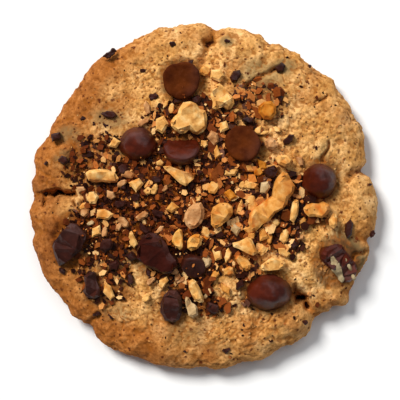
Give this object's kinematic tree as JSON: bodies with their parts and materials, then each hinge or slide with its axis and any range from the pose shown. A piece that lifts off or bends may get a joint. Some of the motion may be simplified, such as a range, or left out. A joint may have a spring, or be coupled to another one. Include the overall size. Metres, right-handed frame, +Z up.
{
  "type": "chocolate chip cookie",
  "caption": "Round baked cookie with a cracked golden rim, chocolate chips and chunks, and chopped nuts over its middle.",
  "frame": {"origin": "middle of the flat base, on the surface that the cookie rests on", "axes": "+Z up through the cookie's thickness, the shortest extent; +X to the right and +Y to the top of the picture"},
  "size_m": [0.0857, 0.0854, 0.0153],
  "materials": {
    "dough": "matte baked crumb",
    "chocolate": "satin chocolate",
    "nut": "matte chopped nut"
  },
  "bodies": {
    "root": {"dough": "dough", "chip_top": "chocolate", "chip_left": "chocolate", "chip_middle": "chocolate", "chip_inner_right": "chocolate", "chip_right": "chocolate", "chip_lower_right": "chocolate", "chip_lower": "chocolate", "chip_bottom": "chocolate", "chip_broken": "chocolate", "chip_lower_left": "chocolate", "chunk_left": "chocolate", "chunk_left_crumb": "chocolate", "chunk_right_rim": "chocolate", "chunk_bottom": "chocolate", "chunk_upper": "chocolate", "nut_lobed": "nut", "nut_heart": "nut", "nut_bar": "nut", "nut_wedge": "nut", "nut_brown": "nut", "nut_yellow": "nut", "nut_orange_lower": "nut", "nut_pebble_upper": "nut", "nut_pebble_lower": "nut", "nut_curved": "nut", "nut_right": "nut", "nut_right_oval": "nut", "nut_flat_left": "nut", "nut_triangle": "nut", "nut_orange_upper": "nut", "nut_upper_right": "nut", "nut_brown_upper": "nut", "nut_thin": "nut", "nut_pale_upper": "nut", "nut_pale_lower": "nut"}
  },
  "joints": []
}
